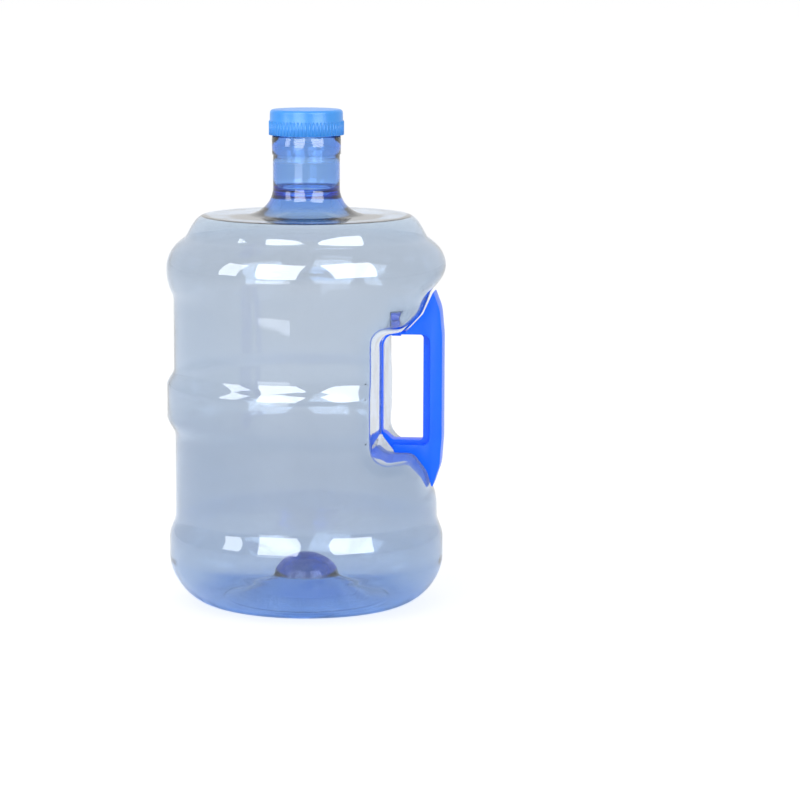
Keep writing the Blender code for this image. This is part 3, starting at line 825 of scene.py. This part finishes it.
def makeHandle():
    h = handle
    stem = block((h["lugX"][0], -h["lugHalfWidth"], notch["ceiling"] - 3.0),
                 (h["lugX"][1], h["lugHalfWidth"], h["lugHead"] + 1.0))
    head = block((h["lugX"][0], -h["lugHeadHalfWidth"], h["lugHead"]),
                 (h["lugX"][1], h["lugHeadHalfWidth"], h["lugTop"]))
    mesh = combined(moulded(handleCorners(), h["halfWidth"], h["edge"]),
                    [moulded(rimCorners(), h["rimHalfWidth"], h["rimEdge"]),
                     moulded(stripCorners(), h["stripHalfWidth"], h["stripEdge"]), stem, head], "UNION")
    mesh.name = "gripHandle"
    piece = addPiece("gripHandle", mesh, handleFinish)
    mesh.set_sharp_from_angle(angle=math.radians(32))
    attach(piece, "jug")
    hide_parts("handle")
    return piece


makeHandle()
print("handle made")


cap = {
    "steps": 144, "radius": 27.2, "ribTop": 361.5, "inner": 25.9, "top": 1.8, "edge": 2.6,
    "ribs": 60, "ribRoot": 27.45, "ribRadius": 0.85,
}


def makeCap():
    c = cap
    top, bottom = capHigh.z, capLow.z
    outside = joined(
        [(0.0, top), (c["radius"] - c["edge"] - 6.0, top)],
        quarter((c["radius"] - c["edge"], top - 0.05), (c["radius"] - 0.1, top - c["edge"]), 6, "radius"),
        [(c["radius"], c["ribTop"] + 0.7), (c["ribRoot"], c["ribTop"]), (c["ribRoot"] + 0.05, bottom + 0.4),
         (c["ribRoot"] - 0.3, bottom)],
    )
    inside = [(c["inner"] + 0.3, bottom), (c["inner"], bottom + 0.4), (c["inner"], top - c["top"]),
              (0.0, top - c["top"])]
    mesh = turned("screwCap", outside + inside, c["steps"])
    piece = addPiece("screwCap", mesh, capFinish)
    mesh.set_sharp_from_angle(angle=math.radians(50))
    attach(piece, "cap")
    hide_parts("screw_cap")
    ribs = grow("capGripRibs", ribTree(), {
        "Count": c["ribs"], "Ring Radius": (capHigh.x - c["ribRadius"]) * mm,
        "Rib Radius": c["ribRadius"] * mm, "Rib Length": (c["ribTop"] - bottom - 0.6) * mm,
        "Foot Height": (bottom + 0.2) * mm, "Finish": capFinish})
    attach(ribs, "cap")
    makeThread("capThread", thread["capHelix"], thread["capTurns"], 0.5 * thread["pitch"], capFinish, "cap")


def makeSeal():
    low, high, radius = sealLow.z, sealHigh.z, sealHigh.x
    outline = joined([(0.0, low)], quarter((radius - 0.5, low), (radius, low + 0.5), 3, "radius"),
                     quarter((radius, high - 0.5), (radius - 0.5, high), 3, "height"), [(0.0, high)])
    piece = addPiece("sealDisc", turned("sealDisc", outline, 96), sealFinish)
    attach(piece, "seal")
    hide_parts("cap_seal")


makeCap()
makeSeal()
print("cap and seal made")


camera = {"distance": 2400.0, "height": 500.0, "aside": 7.3, "down": 8.25, "lens": 145.26, "shift": 0.117}


def makeCamera():
    data = bpy.data.cameras.new("camera")
    data.lens, data.sensor_width, data.shift_x = camera["lens"], 36.0, camera["shift"]
    item = bpy.data.objects.new("camera", data)
    bpy.context.scene.collection.objects.link(item)
    aside = math.radians(camera["aside"])
    item.location = (camera["distance"] * mm * math.sin(aside), -camera["distance"] * mm * math.cos(aside),
                     camera["height"] * mm)
    item.rotation_euler = (math.radians(90.0 - camera["down"]), 0.0, aside)
    bpy.context.scene.camera = item


floor = {
    "radius": 30000.0, "top": -0.2, "underside": -20.0, "colour": "FBFCFD", "roughness": 0.7,
    "ownLight": 0.75,           # how much of the floor's direct view is plain white
    "ownBrightness": 1.05,
}


def makeFloor():
    f = floor
    mesh = turned("floor", [(0.0, f["top"]), (f["radius"], f["top"]), (f["radius"], f["underside"]),
                            (0.0, f["underside"])], 96)
    made, tree = newMaterial("paleFloor")
    shader = addNode(tree, "ShaderNodeBsdfPrincipled", {
        "Base Color": linear(f["colour"]), "Roughness": f["roughness"], "Specular IOR Level": 0.2})
    path = addNode(tree, "ShaderNodeLightPath")
    share = addNode(tree, "ShaderNodeMath", {"operation": "MULTIPLY", 1: f["ownLight"]},
                    {0: path.outputs["Is Camera Ray"]})
    glow = addNode(tree, "ShaderNodeEmission", {"Color": linear("FFFFFF"), "Strength": f["ownBrightness"]})
    both = addNode(tree, "ShaderNodeMixShader", None,
                   {0: share.outputs[0], 1: shader.outputs["BSDF"], 2: glow.outputs[0]})
    addNode(tree, "ShaderNodeOutputMaterial", None, {"Surface": both.outputs[0]})
    addPiece("floor", mesh, made)


# Each panel: azimuth and elevation seen from the jug, width, height and radiance. An azimuth of 0 is at
# the camera's own side.
panels = {
    "leftPanel": (-24.0, 27.0, 0.9, 1.3, 6.5),
    "rightPanel": (40.0, 29.0, 1.0, 1.25, 6.5),
    "sidePanel": (-66.0, 24.0, 0.45, 0.9, 5.0),
    "lowPanel": (-27.0, -2.5, 0.72, 0.18, 2.4),
}


studio = {
    "centre": (0.0, 0.0, 0.2), "panelDistance": 1.5,            # metres
    "overheadAt": (-0.6, -1.2, 2.4), "overheadSize": 2.5, "overheadPower": 30.0,
    "skySeen": 1.0, "skyLight": 0.94,
}


def makeLights():
    aside = math.radians(camera["aside"])
    centre = Vector(studio["centre"])
    for name, (azimuth, elevation, width, height, radiance) in panels.items():
        data = bpy.data.lights.new(name, "AREA")
        data.shape, data.size, data.size_y = "RECTANGLE", width, height
        data.energy = radiance * math.pi * width * height
        item = bpy.data.objects.new(name, data)
        bpy.context.scene.collection.objects.link(item)
        turn, lift = math.radians(azimuth) + aside, math.radians(elevation)
        towards = Vector((math.sin(turn) * math.cos(lift), -math.cos(turn) * math.cos(lift), math.sin(lift)))
        item.location = centre + studio["panelDistance"] * towards
        item.rotation_euler = towards.to_track_quat("Z", "Y").to_euler()
        item.visible_diffuse = False
    data = bpy.data.lights.new("overheadLight", "AREA")
    data.shape, data.size, data.energy = "DISK", studio["overheadSize"], studio["overheadPower"]
    item = bpy.data.objects.new("overheadLight", data)
    bpy.context.scene.collection.objects.link(item)
    item.location = studio["overheadAt"]
    item.rotation_euler = (item.location - centre).to_track_quat("Z", "Y").to_euler()
    item.visible_glossy = item.visible_transmission = False
    world = bpy.data.worlds.new("studio")
    world.use_nodes = True
    tree = world.node_tree
    tree.nodes.clear()
    path = addNode(tree, "ShaderNodeLightPath")
    white = linear("FFFFFF")
    seen = addNode(tree, "ShaderNodeBackground", {"Color": white, "Strength": studio["skySeen"]})
    lit = addNode(tree, "ShaderNodeBackground", {"Color": white, "Strength": studio["skyLight"]})
    both = addNode(tree, "ShaderNodeMixShader", None, {0: path.outputs["Is Camera Ray"], 1: lit.outputs[0],
                                                       2: seen.outputs[0]})
    addNode(tree, "ShaderNodeOutputWorld", None, {"Surface": both.outputs[0]})
    bpy.context.scene.world = world


makeCamera()
makeFloor()
makeLights()
bpy.context.scene.view_settings.view_transform = "Standard"
print("stage made")
